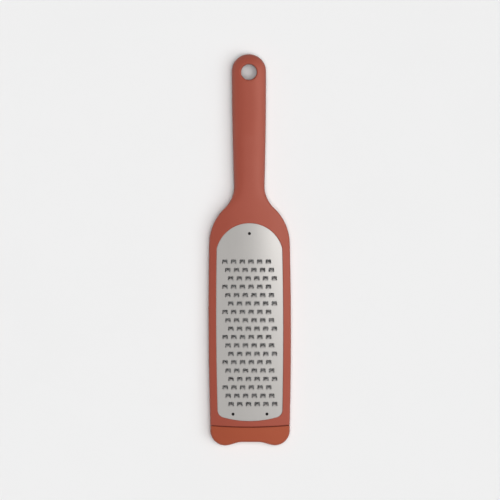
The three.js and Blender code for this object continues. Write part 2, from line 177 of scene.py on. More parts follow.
class Shape:
    """Plan outline, sections and places of the grater, worked out from the sizes."""

    def __init__(self, sizes):
        self.s = s = sizes
        self.seam_y = FOOT_END + s.foot_length
        self.window_bottom = self.seam_y + s.end_rail_width
        self.window_top = self.window_bottom + s.window_length
        middle = (self.window_bottom + self.window_top) / 2
        self.window_half = HEAD_HALF - s.rail_width
        self.end_y = HANDLE_END - s.handle_end_radius
        self.hole_y = self.end_y - s.hole_back
        self.hole_ring_y = self.hole_y - s.hang_hole
        self.ledge_y = self.window_top + s.neck_ledge
        self.head = np.array([HEAD_HALF - s.head_side_radius, middle])
        self.grip = np.array([s.handle_end_radius - s.grip_side_radius, self.end_y])
        shoulder_y = self.window_top - s.shoulder_below_window
        reach = s.head_side_radius - s.shoulder_radius
        shoulder_x = self.head[0] + math.sqrt(reach ** 2 - (shoulder_y - middle) ** 2)
        self.shoulder = np.array([shoulder_x, shoulder_y])
        self.neck = meeting_point(self.shoulder, s.shoulder_radius + s.neck_radius,
                                  self.grip, s.grip_side_radius + s.neck_radius, (1, 0))
        self.shoulder_from = self.head[1] + s.head_side_radius * (shoulder_y - middle) / reach
        self.neck_from = shoulder_y + s.shoulder_radius * unit(self.neck - self.shoulder)[1]
        self.grip_from = self.end_y + s.grip_side_radius * unit(self.neck - self.grip)[1]
        self.blend_to = self.grip_from + s.neck_radius / 2
        self.middle_z = CROWN - s.handle_thickness / 2
        self.seam_radius = radius_from_rise(HEAD_HALF, s.seam_bow)
        self.top_radius = radius_from_rise(self.window_half, s.window_top_rise)
        self.bottom_radius = radius_from_rise(self.window_half, s.window_bottom_rise)
        self.seam_half = float(self.half_width(np.array(self.seam(HEAD_HALF))))
        self.ledge_half = float(self.half_width(np.array(self.ledge_y)))

    def half_width(self, y):
        """Half the outline's width at y: four arcs that run into each other, and a half circle at the
        end."""
        s = self.s

        def chord(radius, centre):
            return np.sqrt(np.maximum(radius ** 2 - (y - centre) ** 2, 0))

        return np.select(
            [y > self.end_y, y > self.grip_from, y > self.neck_from, y > self.shoulder_from],
            [chord(s.handle_end_radius, self.end_y),
             self.grip[0] + chord(s.grip_side_radius, self.end_y),
             self.neck[0] - chord(s.neck_radius, self.neck[1]),
             self.shoulder[0] + chord(s.shoulder_radius, self.shoulder[1])],
            self.head[0] + chord(s.head_side_radius, self.head[1]))

    def arch(self, x):
        """Height of the arched top at x: a circle across the head's width."""
        radius = self.s.arch_radius
        return CROWN - radius + np.sqrt(radius ** 2 - x ** 2)

    def seam(self, x):
        """Y of the seam at x: an arc that bows towards the foot."""
        return self.seam_y + self.seam_radius - np.sqrt(self.seam_radius ** 2 - x ** 2)

    def head_top(self, x, half):
        """Height of the head's top: the arch, run into its sides by a round edge that touches both."""
        edge = self.s.top_edge
        radius = self.s.arch_radius
        centre = half - edge
        centre_z = CROWN - radius + np.sqrt((radius - edge) ** 2 - centre ** 2)
        touch = radius * centre / (radius - edge)
        rounded = centre_z + np.sqrt(np.maximum(edge ** 2 - (x - centre) ** 2, 0))
        return np.where(x < touch, self.arch(np.minimum(x, touch)), rounded)

    def handle_rise(self, x, y):
        """Height of the handle's skin above its middle: a superellipse across, turned round at the end."""
        past = np.maximum(y - self.end_y, 0)
        full = np.where(y > self.end_y, self.s.handle_end_radius, self.half_width(y))
        share = np.clip(np.hypot(x, past) / full, 0, 1)
        height = self.s.handle_thickness / 2 - SIDE_BAND
        return SIDE_BAND + height * (1 - share ** ROUNDNESS) ** (1 / ROUNDNESS)

    def mix(self, y):
        """Share of the handle's section at y: 0 in the head, 1 in the grip, smooth between."""
        t = np.clip((y - self.ledge_y) / (self.blend_to - self.ledge_y), 0, 1)
        return t ** 3 * (t * (6 * t - 15) + 10)

    def top(self, x, y):
        """Height of the frame's top at a plan point, with the rounding at the seam and at the hang hole."""
        half = self.half_width(y)
        out = np.minimum(np.abs(x), half)
        head = self.head_top(out, np.maximum(half, self.s.top_edge * 2))
        mix = self.mix(y)
        z = head * (1 - mix) + (self.middle_z + self.handle_rise(out, y)) * mix
        return z - drop(y - self.seam(x), self.s.seam_edge) - self.rim_drop(x, y)

    def base(self, x, y):
        """Height of the frame's underside at a plan point."""
        half = self.half_width(y)
        out = np.minimum(np.abs(x), half)
        mix = self.mix(y)
        head = drop(half - out, self.s.base_edge)
        z = head * (1 - mix) + (self.middle_z - self.handle_rise(out, y)) * mix
        return z + drop(y - self.seam(x), self.s.base_edge / 2) + self.rim_drop(x, y)

    def rim_drop(self, x, y):
        """Rounding towards the hang hole's rim."""
        return drop(np.hypot(x, y - self.hole_y) - self.s.hang_hole / 2, self.s.hang_hole_edge)


def unit(vector):
    """The vector at length 1."""
    return vector / np.hypot(*vector)


def radius_from_rise(half_chord, rise):
    """Radius of an arc from half its chord and its rise."""
    return (half_chord ** 2 + rise ** 2) / (2 * rise)


def meeting_point(a, reach_a, b, reach_b, towards):
    """The point at one distance from a and another from b, on the side that a direction points to."""
    away = b - a
    distance = np.hypot(*away)
    along = (reach_a ** 2 - reach_b ** 2 + distance ** 2) / (2 * distance)
    aside = math.sqrt(reach_a ** 2 - along ** 2)
    way = away / distance
    across = np.array([-way[1], way[0]])
    return a + along * way + aside * across * np.sign(across @ np.array(towards))


def drop(distance, radius):
    """Fall of a round edge at a distance inside it: a quarter circle of that radius, 0 further in."""
    inside = np.clip(radius - distance, 0, radius)
    return radius - np.sqrt(radius ** 2 - inside ** 2)


def close_at_end(count):
    """Shares from 0 to 1 that lie closer together towards 1: one less the square of what is left."""
    return 1 - (1 - np.linspace(0, 1, count)) ** 2


def close_at_both(count):
    """Shares from 0 to 1 that lie closer together at both ends: half a cosine wave."""
    return (1 - np.cos(math.pi * np.linspace(0, 1, count))) / 2


def line_shares():
    """Shares of the half-width across the neck, from the edge to the middle, closest at the edge."""
    return 1 - np.linspace(0, 1, LINE_STEPS + 1) ** 2


def arc_points(centre, radius, start, stop, count):
    """Points on an arc, without its last one."""
    angle = np.linspace(start, stop, count, endpoint=False)
    return np.stack([centre[0] + radius * np.cos(angle), centre[1] + radius * np.sin(angle)], axis=1)


def bearing(origin, target):
    """Direction from one point to another."""
    return math.atan2(target[1] - origin[1], target[0] - origin[0])


def close_loop(right):
    """A right half loop with its mirror image, as one closed loop that runs to the left."""
    left = right[-2:0:-1] * np.array([-1.0, 1.0])
    return np.concatenate([right, left])


def with_height(loop, z):
    """Plan points with their heights."""
    return np.concatenate([loop, np.broadcast_to(z, len(loop))[:, None]], axis=1)


def spans(low, high, shares):
    """Points from one array to another at the given shares, one array for each share."""
    return [low + (high - low) * share for share in shares]


def grid_faces(rows, columns, wrap_rows, wrap_columns):
    """Quads of a grid of points, numbered row by row, as an array over its rows and columns."""
    r = np.arange(rows if wrap_rows else rows - 1)
    c = np.arange(columns if wrap_columns else columns - 1)
    r, c = np.meshgrid(r, c, indexing="ij")
    next_r = (r + 1) % rows
    next_c = (c + 1) % columns
    corners = [r * columns + c, r * columns + next_c, next_r * columns + next_c, next_r * columns + c]
    return np.stack(corners, axis=-1)


def skin(points, wrap_rows, wrap_columns, keep=None):
    """A grid of points as a flat list of points and quads. Only the quads marked in keep stay."""
    faces = grid_faces(*points.shape[:2], wrap_rows, wrap_columns)
    if keep is None:
        keep = np.ones(faces.shape[:2], bool)
    return points.reshape(-1, 3), faces[keep]


def join_grids(grids):
    """Several sets of points and faces as one."""
    offsets = np.cumsum([0] + [len(points) for points, _ in grids[:-1]])
    points = np.concatenate([points for points, _ in grids])
    faces = np.concatenate([faces + offset for (_, faces), offset in zip(grids, offsets)])
    return points, faces


def top_row(shape, points):
    """Plan points at the height of the frame's top."""
    return with_height(points, shape.top(points[:, 0], points[:, 1]))


def base_row(shape, points):
    """Plan points at the height of the frame's underside."""
    return with_height(points, shape.base(points[:, 0], points[:, 1]))


def arch_row(shape, points, height):
    """Plan points at a height over the arch."""
    return with_height(points, shape.arch(points[:, 0]) + height)


def wall_rows(shape, outer):
    """Rows down the outer wall at its shares of the way from the frame's top to its underside."""
    return spans(top_row(shape, outer), base_row(shape, outer), WALL_SHARES)


def window_half_loop(shape, side_grow, top_grow, bottom_grow):
    """Right half of the window's outline, from its bottom middle to its top middle, moved outwards.
    It is an arc, a round corner, the long side, a small corner and the top arc; the last part of the top
    arc has its points under those of the straight line across the neck."""
    s = shape.s
    side_radius = s.head_side_radius - s.rail_width + side_grow
    top = np.array([0, shape.window_top - shape.top_radius])
    top_radius = shape.top_radius + top_grow
    bottom = np.array([0, shape.window_bottom + shape.bottom_radius])
    bottom_radius = shape.bottom_radius + bottom_grow
    low_round = s.window_bottom_corner + min(side_grow, bottom_grow)
    high_round = s.window_top_corner + min(side_grow, top_grow)
    low = meeting_point(shape.head, side_radius - low_round, bottom, bottom_radius - low_round, (0, -1))
    high = meeting_point(shape.head, side_radius - high_round, top, top_radius - high_round, (0, 1))
    low_turn = bearing(bottom, low)
    high_turn = bearing(top, high)
    side_low = bearing(shape.head, low)
    side_high = bearing(shape.head, high)
    line_turns = np.arctan2(shape.ledge_y - top[1], shape.ledge_half * line_shares())
    return np.concatenate([
        arc_points(bottom, bottom_radius, -math.pi / 2, low_turn, BOTTOM_STEPS),
        arc_points(low, low_round, low_turn, side_low, CORNER_STEPS),
        arc_points(shape.head, side_radius, side_low, side_high, SIDE_STEPS),
        arc_points(high, high_round, side_high, high_turn, TOP_CORNER_STEPS),
        arc_points(top, top_radius, high_turn, line_turns[0], SHOULDER_STEPS),
        np.stack([top_radius * np.cos(line_turns), top[1] + top_radius * np.sin(line_turns)], axis=1)])


def window_loop(shape, grow):
    """The window's outline, moved outwards by the same distance all round."""
    return close_loop(window_half_loop(shape, grow, grow, grow))


def room_loop(shape, grow):
    """The outline of the room under the blade, inside the skirt's walls, moved outwards."""
    s = shape.s
    return close_loop(window_half_loop(shape, s.rail_width - s.rail_wall + grow,
                                       s.neck_ledge - s.neck_wall + grow,
                                       s.end_rail_width - s.end_wall + grow))


def outer_half_loop(shape):
    """Right half of the frame's outer outline, point for point beside the window's: the seam, the side, the
    shoulder and the straight line across the neck."""
    window = window_half_loop(shape, 0, 0, 0)
    half_corner = CORNER_STEPS // 2
    first_side = BOTTOM_STEPS + CORNER_STEPS
    last_side = first_side + SIDE_STEPS
    seam_x = shape.seam_half * np.linspace(0, 1, BOTTOM_STEPS + half_corner, endpoint=False)
    corner_y = np.linspace(shape.seam(shape.seam_half), window[first_side, 1], half_corner, endpoint=False)
    shoulder_y = np.linspace(window[last_side, 1], shape.ledge_y, TOP_CORNER_STEPS + SHOULDER_STEPS,
                             endpoint=False)
    y = np.concatenate([corner_y, window[first_side:last_side, 1], shoulder_y])
    line_x = shape.ledge_half * line_shares()
    return np.concatenate([
        np.stack([seam_x, shape.seam(seam_x)], axis=1),
        np.stack([shape.half_width(y), y], axis=1),
        np.stack([line_x, np.full(len(line_x), shape.ledge_y)], axis=1)])


def seam_ledge(shape, outer_half):
    """How far the frame's end wall steps towards the foot, below the seam's edge, at the outer loop's
    points. The step closes the seam from below; it runs out near the head's sides."""
    s = shape.s
    seam_points = BOTTOM_STEPS + CORNER_STEPS // 2
    x = outer_half[:, 0]
    share = np.clip((x[seam_points] - x) / s.seam_gap, 0, 1)
    share[seam_points:] = 0
    return np.stack([np.zeros(len(x)), share * (s.seam_gap - TOUCH_GAP)], axis=1)


def frame_head(shape):
    """The ring round the blade: one closed profile carried round the window. The profile runs over the lip,
    the rail's top and outer wall, along the base, up the inner skirt and back through the blade's groove.
    The outer wall is left open along the neck's straight line, where the handle goes on."""
    s = shape.s
    over_blade = TOUCH_GAP - s.lip
    under_blade = -s.lip - s.blade_thickness - TOUCH_GAP
    under_shelf = under_blade - s.shelf
    outer_half = outer_half_loop(shape)
    outer = close_loop(outer_half)
    window = window_loop(shape, 0)
    rows = [arch_row(shape, window, over_blade)]
    for turn in np.linspace(0, math.pi / 2, LIP_STEPS):
        points = window_loop(shape, s.lip_edge * (1 - math.cos(turn)))
        rows.append(arch_row(shape, points, -s.lip_edge * (1 - math.sin(turn))))
    for points in spans(window_loop(shape, s.lip_edge), outer, close_at_end(RAIL_STEPS)[1:]):
        rows.append(top_row(shape, points))
    wall_start = len(rows) - 1
    walls = wall_rows(shape, outer)
    below = close_loop(outer_half - seam_ledge(shape, outer_half))
    rows.append(walls[1])
    rows.extend(with_height(below, wall[:, 2]) for wall in walls[1:])
    wall_stop = len(rows) - 1
    for points in spans(below, room_loop(shape, SKIRT_EDGE), 1 - close_at_end(BASE_STEPS)[::-1])[1:]:
        rows.append(base_row(shape, points))
    room = room_loop(shape, 0)
    skirt_top = arch_row(shape, room, under_shelf - SHELF_CHAMFER)
    rows.extend(spans(with_height(room, SKIRT_EDGE), skirt_top, (0, 0.5, 1)))
    chamfer = room + (window - room) * SHELF_CHAMFER_REACH
    shelf_z = shape.arch(window[:, 0]) + under_shelf
    rows.append(with_height(chamfer, shape.arch(room[:, 0]) + under_shelf))
    rows.append(with_height(window_loop(shape, SHELF_EDGE), shelf_z))
    rows.append(with_height(window, shelf_z + SHELF_EDGE))
    rows.append(arch_row(shape, window, under_blade))
    groove = window_loop(shape, s.blade_embed + TOUCH_GAP)
    rows.append(arch_row(shape, groove, under_blade))
    rows.append(arch_row(shape, groove, over_blade))
    points = np.array(rows)
    keep = np.ones(points.shape[:2], bool)
    line_from = len(outer_half) - LINE_STEPS - 1
    keep[wall_start:wall_stop, line_from:line_from + 2 * LINE_STEPS] = False
    return skin(points, True, True, keep)


def handle_loft(shape):
    """Neck and handle: a section carried along Y from the head's straight line to the hang hole. Across, it
    runs over the top from left to right, down the side, back along the base and up the other side."""
    y = np.concatenate([np.linspace(shape.ledge_y, shape.blend_to, NECK_STEPS, endpoint=False),
                        np.linspace(shape.blend_to, shape.hole_ring_y, GRIP_STEPS)])
    shares = line_shares()
    across = np.concatenate([-shares, shares[-2::-1]])
    x = shape.half_width(y)[:, None] * across[None, :]
    y = np.broadcast_to(y[:, None], x.shape)
    top = np.stack([x, y, shape.top(x, y)], axis=-1)
    base = np.stack([x, y, shape.base(x, y)], axis=-1)[:, ::-1]
    steps = WALL_SHARES[None, 1:-1, None]
    right = top[:, -1:] + (base[:, :1] - top[:, -1:]) * steps
    left = base[:, -1:] + (top[:, :1] - base[:, -1:]) * (1 - steps[:, ::-1])
    return skin(np.concatenate([top, right, base, left], axis=1), False, True)


def handle_end(shape):
    """The ring round the hang hole: a profile over the top, down the round end, along the base and up
    through the hole, carried round it. It is left open along the line where the handle's loft ends."""
    s = shape.s
    start = shape.hole_ring_y
    line_x = shape.half_width(np.array([start])) * line_shares()[::-1]
    line = np.stack([line_x, np.full(len(line_x), start)], axis=1)
    side_y = np.linspace(start, shape.end_y, END_SIDE_STEPS)[1:]
    side = np.stack([shape.half_width(side_y), side_y], axis=1)
    end = arc_points((0, shape.end_y), s.handle_end_radius, 0, math.pi / 2, END_ARC_STEPS)[1:]
    outer = close_loop(np.concatenate([line, side, end, [[0, HANDLE_END]]]))
    turn = np.arctan2(outer[:, 1] - shape.hole_y, outer[:, 0])
    ray = np.stack([np.cos(turn), np.sin(turn)], axis=1)

    def ring(grow):
        """The hang hole's outline at the outer loop's bearings, moved outwards."""
        return np.array([0, shape.hole_y]) + ray * (s.hang_hole / 2 + grow)

    rim = s.hang_hole_edge * (1 - np.cos(np.linspace(0, math.pi / 2, RIM_STEPS)))
    rim_edge = ring(s.hang_hole_edge)
    away = close_at_end(END_RAIL_STEPS)
    rows = [top_row(shape, ring(grow)) for grow in rim]
    rows += [top_row(shape, points) for points in spans(rim_edge, outer, away[1:])]
    wall_start = len(rows) - 1
    rows += wall_rows(shape, outer)[1:]
    wall_stop = len(rows) - 1
    rows += [base_row(shape, points) for points in spans(outer, rim_edge, 1 - away[::-1])[1:]]
    rows += [base_row(shape, ring(grow)) for grow in rim[-2::-1]]
    rows.append(with_height(ring(0), shape.middle_z))
    points = np.array(rows)
    keep = np.ones(points.shape[:2], bool)
    open_columns = np.arange(-LINE_STEPS, LINE_STEPS) % points.shape[1]
    keep[wall_start:wall_stop, open_columns] = False
    return skin(points, True, True, keep)


# The pattern of teeth, and the cells of the sheet that each tooth takes up.
TOOTH_ROWS = 18
TOOTH_COLUMNS = 6
STAGGER_ROWS = 3
CELL_ACROSS = 9
CELL_ALONG = 6

# Lines of the sheet below and above the teeth, and the least room beside the outermost column, in columns.
LOW_LINES = 14
HIGH_LINES = 30
SIDE_ROOM = 0.4
CORNER_LIFT = 0.6

# Places of the points along an opening's foot and top edges, where their corners begin, and the points
# between which the tongue rises. A ring lies at a share of the way from a cell's border to its opening.
EDGE_PLACES = np.array([-1, -0.8, -0.6, -0.36, -0.12, 0.12, 0.36, 0.6, 0.8, 1])
CORNER_FROM = 0.6
TONGUE_FROM = 2
TONGUE_TO = 7
CELL_RING = 0.6

# How the tongue runs along its length: points, powers of its taper and curl, and its scoop and tip bow.
TONGUE_STEPS = 6
TONGUE_TAPER = 3
TONGUE_CURL = 1.5
TONGUE_SCOOP = 0.1 * MM
TIP_BOW = 0.09

# A pin hole takes up a block of this many cells each way.
PIN_CELLS = 4


def opening_loop(s):
    """Outline of a tooth's opening about its middle, from its lower left corner round to the right:
    straight foot and top edges that curl in at the corners, and sides that splay towards the foot."""
    into = np.clip((np.abs(EDGE_PLACES) - CORNER_FROM) / (1 - CORNER_FROM), 0, 1)
    curl = s.opening_corner * into ** 3
    foot = np.stack([EDGE_PLACES * s.opening_foot / 2, curl - s.opening_length / 2], axis=1)
    top = np.stack([EDGE_PLACES[::-1] * s.opening_top / 2, s.opening_length / 2 - curl], axis=1)
    shares = np.linspace(0, 1, CELL_ALONG + 1)[1:-1, None]
    right = foot[-1] + (top[0] - foot[-1]) * shares
    left = top[-1] + (foot[0] - top[-1]) * shares
    return np.concatenate([foot, right, top, left])


def block_border(row, column, rows, columns):
    """Row and column numbers round a block of grid cells, from its lower left corner round to the right."""
    right = np.arange(columns)
    up = np.arange(rows)
    c = np.concatenate([right, np.full(rows, columns), columns - right, np.zeros(rows, int)])
    r = np.concatenate([np.zeros(columns, int), up, np.full(columns, rows), rows - up])
    return row + r, column + c


def blade_lattice(shape):
    """Plan points of the sheet: straight lines across through the rows of teeth, and curved ones above and
    below that follow the blade's ends. The outer columns lie on the blade's long sides. Gives the points
    and the number of the middle column."""
    s = shape.s
    step = s.tooth_pitch / CELL_ACROSS
    field_top = shape.window_top - s.first_row + s.row_pitch / 2
    field_bottom = field_top - TOOTH_ROWS * s.row_pitch
    side_radius = s.head_side_radius - s.rail_width + s.blade_embed

    def side(y):
        """X of the blade's long side at y."""
        return shape.head[0] + np.sqrt(side_radius ** 2 - (y - shape.head[1]) ** 2)

    count = int(side(field_bottom) / step - SIDE_ROOM)
    inner = step * np.arange(-count, count + 1)

    def line(y):
        """A straight line of points across the sheet."""
        x = np.concatenate([[-side(y)], inner, [side(y)]])
        return np.stack([x, np.full(len(x), y)], axis=1)

    first = line(field_bottom)
    last = line(field_top)
    top_radius = shape.top_radius + s.blade_embed
    bottom_radius = shape.bottom_radius + s.blade_embed
    upper_y = shape.window_top - shape.top_radius + np.sqrt(top_radius ** 2 - last[:, 0] ** 2)
    lower_y = shape.window_bottom + shape.bottom_radius - np.sqrt(bottom_radius ** 2 - first[:, 0] ** 2)
    corner_way = side(field_bottom) - np.abs(first[:, 0])
    lower_y = lower_y + CORNER_LIFT * drop(corner_way, s.window_bottom_corner)
    lower = np.stack([first[:, 0], lower_y], axis=1)
    upper = np.stack([last[:, 0], upper_y], axis=1)
    rows = spans(lower, first, np.linspace(0, 1, LOW_LINES + 1)[:-1])
    rows += [line(y) for y in np.linspace(field_bottom, field_top, TOOTH_ROWS * CELL_ALONG + 1)]
    rows += spans(last, upper, np.linspace(0, 1, HIGH_LINES + 1)[1:])
    return np.array(rows), count + 1


def lifted(shape, x, y, height):
    """Points over the arched sheet: the plan point on its top face, moved out square to the arch."""
    tilt = np.arcsin(x / shape.s.arch_radius)
    z = shape.arch(x) - shape.s.lip + height * np.cos(tilt)
    return np.stack([x + height * np.sin(tilt), np.broadcast_to(y, x.shape), z], axis=-1)


def pierced_cell(shape, rings, walls):
    """Rings of plan points, from a cell's border in to its hole, as the sheet's top and under faces, with
    the wall of the hole at the points that are marked in walls."""
    over = [lifted(shape, ring[:, 0], ring[:, 1], 0.0) for ring in rings]
    under = [lifted(shape, ring[:, 0], ring[:, 1], -shape.s.blade_thickness) for ring in rings[::-1]]
    points = np.array(over + under)
    keep = np.ones((len(points) - 1, points.shape[1]), bool)
    keep[len(rings) - 1] = walls
    return skin(points, False, True, keep)


def tooth_tongue(shape, middle, base):
    """One tooth's tongue over the sheet, from its base line. It narrows, curls up as a power of its length
    with a slight scoop, has a rounded tip and thins to its cutting edge. Each ring runs along the top and
    back underneath, and the tip is closed by a strip of quads."""
    s = shape.s
    t = np.linspace(0, 1, TONGUE_STEPS + 1)[:, None]
    across = np.linspace(-1, 1, len(base))[None, :]
    half = base[-1, 0] + (s.tongue_tip / 2 - base[-1, 0]) * t ** TONGUE_TAPER
    x = middle[0] + half * across
    y = middle[1] + base[None, :, 1] + s.tongue_reach * t * (1 - TIP_BOW * across ** 2 * t)
    rise = s.tongue_rise * t ** TONGUE_CURL + TONGUE_SCOOP * across ** 2 * t
    thick = s.blade_thickness + (s.cutting_edge - s.blade_thickness) * t
    over = lifted(shape, x, y, rise)
    under = lifted(shape, x, y, rise - thick)[:, ::-1]
    points, faces = skin(np.concatenate([over, under], axis=1), False, True)
    ring = np.arange(len(points) - 2 * len(base), len(points))
    ahead = ring[:len(base)]
    back = ring[::-1][:len(base)]
    tip = np.stack([ahead[:-1], ahead[1:], back[1:], back[:-1]], axis=1)
    return points, np.concatenate([faces, tip])


def blade_mesh(shape):
    """The sheet's top and under faces with its openings, the walls of the openings and of the rim, and the
    tongues that rise from the openings' foot edges."""
    s = shape.s
    plan, centre = blade_lattice(shape)
    rows, columns = plan.shape[:2]
    kept = np.ones((rows - 1, columns - 1), bool)
    opening = opening_loop(s)
    tongue_base = opening[TONGUE_FROM:TONGUE_TO + 1]
    walls = np.ones(len(opening), bool)
    walls[TONGUE_FROM:TONGUE_TO] = False
    grids = []
    for row, column in np.ndindex(TOOTH_ROWS, TOOTH_COLUMNS):
        stagger = (TOOTH_ROWS - 1 - row) % STAGGER_ROWS - 1
        r0 = LOW_LINES + row * CELL_ALONG
        c0 = centre + (column - TOOTH_COLUMNS // 2) * CELL_ACROSS + stagger * (CELL_ACROSS // STAGGER_ROWS)
        kept[r0:r0 + CELL_ALONG, c0:c0 + CELL_ACROSS] = False
        border = plan[block_border(r0, c0, CELL_ALONG, CELL_ACROSS)]
        middle = (border.min(axis=0) + border.max(axis=0)) / 2
        hole = opening + middle
        grids.append(pierced_cell(shape, [border, border + (hole - border) * CELL_RING, hole], walls))
        grids.append(tooth_tongue(shape, middle, tongue_base))

    low_pin_y = shape.window_bottom + s.low_pin
    low_pin_x = s.pin_spacing / 2
    pins = [(0, shape.window_top - s.top_pin), (-low_pin_x, low_pin_y), (low_pin_x, low_pin_y)]
    for x, y in pins:
        nearest = np.argmin(np.abs(plan[LOW_LINES, :, 0] - x))
        line = np.argmin(np.abs(plan[:, nearest, 1] - y))
        r0 = line - PIN_CELLS // 2
        c0 = nearest - PIN_CELLS // 2
        kept[r0:r0 + PIN_CELLS, c0:c0 + PIN_CELLS] = False
        border = plan[block_border(r0, c0, PIN_CELLS, PIN_CELLS)]
        turn = np.arctan2(border[:, 1] - y, border[:, 0] - x)
        hole = np.array([x, y]) + s.pin_hole / 2 * np.stack([np.cos(turn), np.sin(turn)], axis=1)
        grids.append(pierced_cell(shape, [border, hole], np.ones(len(hole), bool)))

    rim = plan[block_border(0, 0, rows - 1, columns - 1)]
    edges = []
    for height in (0.0, -s.blade_thickness):
        grids.append(skin(lifted(shape, plan[..., 0], plan[..., 1], height), False, False, kept))
        edges.append(lifted(shape, rim[:, 0], rim[:, 1], height))
    grids.append(skin(np.array(edges), False, True))
    return join_grids(grids)


# Points along the foot's straight part and its corners, from the end to the seam, and down its walls.
FOOT_MIDDLE_STEPS = 70
FOOT_CORNER_STEPS = 40
FOOT_LENGTH_STEPS = 40
FOOT_WALL_STEPS = 9


def foot_mesh(shape):
    """The foot: sections across X, each a closed ring in Y and Z. The top follows the arch and falls off in
    a quarter circle by the distance to the nearest edge. The end line has two lobes, a notch between them
    with smooth cubic flanks, and round corners. Flat caps close the two sides."""
    s = shape.s
    half = shape.seam_half
    corner_from = half - s.foot_corner
    middle_x = np.linspace(0, corner_from, FOOT_MIDDLE_STEPS, endpoint=False)
    corner_x = corner_from + s.foot_corner * np.sin(np.linspace(0, math.pi / 2, FOOT_CORNER_STEPS))
    right = np.concatenate([middle_x, corner_x])
    x = np.concatenate([-right[:0:-1], right])[:, None]
    out = np.abs(x)
    floor_half = s.notch_floor / 2
    flank = s.lobe_spacing / 2 - floor_half
    share = np.clip((out - floor_half) / flank, 0, 1)
    notch = s.notch_depth * (1 - share * share * (3 - 2 * share))
    slope = s.notch_depth * 6 * share * (1 - share) / flank
    into = np.clip(out - corner_from, 0, s.foot_corner)
    end = FOOT_END + notch + drop(s.foot_corner - into, s.foot_corner)
    seam = shape.seam(x) - s.seam_gap
    y = end + (seam - end) * close_at_both(FOOT_LENGTH_STEPS)
    corner_way = s.foot_corner - np.hypot(into, np.minimum(y - FOOT_END - s.foot_corner, 0))
    to_end = np.where(out < corner_from, (y - end) / np.sqrt(1 + slope ** 2), corner_way)
    distance = np.minimum(to_end, half - out)
    top = shape.arch(x) - drop(distance, s.foot_edge) - drop(seam - y, s.seam_edge)
    base = drop(distance, s.base_edge) + drop(seam - y, s.base_edge / 2)
    spread = np.broadcast_to(x, y.shape)
    over = np.stack([spread, y, top], axis=-1)[:, ::-1]
    under = np.stack([spread, y, base], axis=-1)
    shares = np.linspace(0, 1, FOOT_WALL_STEPS)
    steps = shares[None, 1:-1, None]
    wall = over[:, -1:] + (under[:, :1] - over[:, -1:]) * steps
    back = under[:, -1:] + (over[:, :1] - under[:, -1:]) * steps
    grids = [skin(np.concatenate([over, wall, under, back], axis=1), False, True)]
    for side in (0, -1):
        grids.append(skin(np.array(spans(over[side], under[side, ::-1], shares)), False, False))
    return join_grids(grids)


# Points closer than the first length are welded, edges shorter than the second are dissolved, and edges
# that turn by more than the crease angle stay sharp.
WELD_DISTANCE = 0.002 * MM
SLIVER_LENGTH = 0.0005 * MM
PLASTIC_CREASE = math.radians(38)
STEEL_CREASE = math.radians(40)


def make_piece(name, points, faces, crease, material):
    """A welded, closed mesh object with its faces outwards, riding on the part's one body."""
    mesh = bpy.data.meshes.new(name)
    mesh.from_pydata(points.tolist(), [], faces.tolist())
    work = bmesh.new()
    work.from_mesh(mesh)
    bmesh.ops.remove_doubles(work, verts=work.verts, dist=WELD_DISTANCE)
    bmesh.ops.dissolve_degenerate(work, edges=work.edges, dist=SLIVER_LENGTH)
    bmesh.ops.recalc_face_normals(work, faces=work.faces)
    work.to_mesh(mesh)
    work.free()
    mesh.polygons.foreach_set("use_smooth", np.ones(len(mesh.polygons), bool))
    mesh.set_sharp_from_angle(angle=crease)
    mesh.materials.append(material)
    piece = bpy.data.objects.new(name, mesh)
    bpy.context.scene.collection.objects.link(piece)
    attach(piece, "root")
    return piece


class Socket:
    """A shader socket that takes part in Python sums: an operator adds the Math node that works it out. One
    without an output stands for a tree that is still empty."""

    def __init__(self, tree, output=None):
        self.tree = tree
        self.output = output

    def node(self, kind, settings=None, output=0, **inputs):
        """A node of any kind in the same tree. Its settings are made first, then its sockets get their
        values or links; a name such as _1 is a socket's number. Gives one output, by its number."""
        node = self.tree.nodes.new(kind)
        for name, value in (settings or {}).items():
            setattr(node, name, value)
        for name, value in inputs.items():
            key = int(name[1:]) if name.startswith("_") else name.replace("_", " ")
            if isinstance(value, Socket):
                self.tree.links.new(value.output, node.inputs[key])
            else:
                node.inputs[key].default_value = value
        return Socket(self.tree, node.outputs[output] if node.outputs else None)

    def math(self, operation, first, second):
        """A Math node on two values or sockets."""
        return self.node("ShaderNodeMath", {"operation": operation}, _0=first, _1=second)

    def at_least(self, other):
        """The larger of two values."""
        return self.math("MAXIMUM", self, other)

    def at_most(self, other):
        """The smaller of two values."""
        return self.math("MINIMUM", self, other)

    def __add__(self, other):
        return self.math("ADD", self, other)

    __radd__ = __add__

    def __mul__(self, other):
        return self.math("MULTIPLY", self, other)

    __rmul__ = __mul__

    def __sub__(self, other):
        return self.math("SUBTRACT", self, other)

    def __rsub__(self, other):
        return self.math("SUBTRACT", other, self)

    def __pow__(self, other):
        return self.math("POWER", self, other)

    def __rpow__(self, other):
        return self.math("POWER", other, self)


# Numbers of the output sockets that are used.
DIRECTION = 0
OBJECT_PLACE = 3
IS_CAMERA_RAY = 0
IS_GLOSSY_RAY = 3
IS_TRANSMISSION_RAY = 6
MIXED_COLOUR = 2
ATTRIBUTE_VALUE = 2
DISTANCE_VALUE = 1

NOISE_ROUGHNESS = 0.55

# Finish of the plastics: how much clouds and specks change the colour, the clouds' part in that, how much
# the polish changes the roughness, the grain's strength, and the sheen's strength and tint.
PLASTIC_TONES = 0.07
PLASTIC_CLOUD_PART = 0.6
PLASTIC_POLISH = 0.10
PLASTIC_GRAIN = 0.35
PLASTIC_SHEEN = 0.8
PLASTIC_SHEEN_TINT = (1.0, 0.6, 0.5, 1.0)

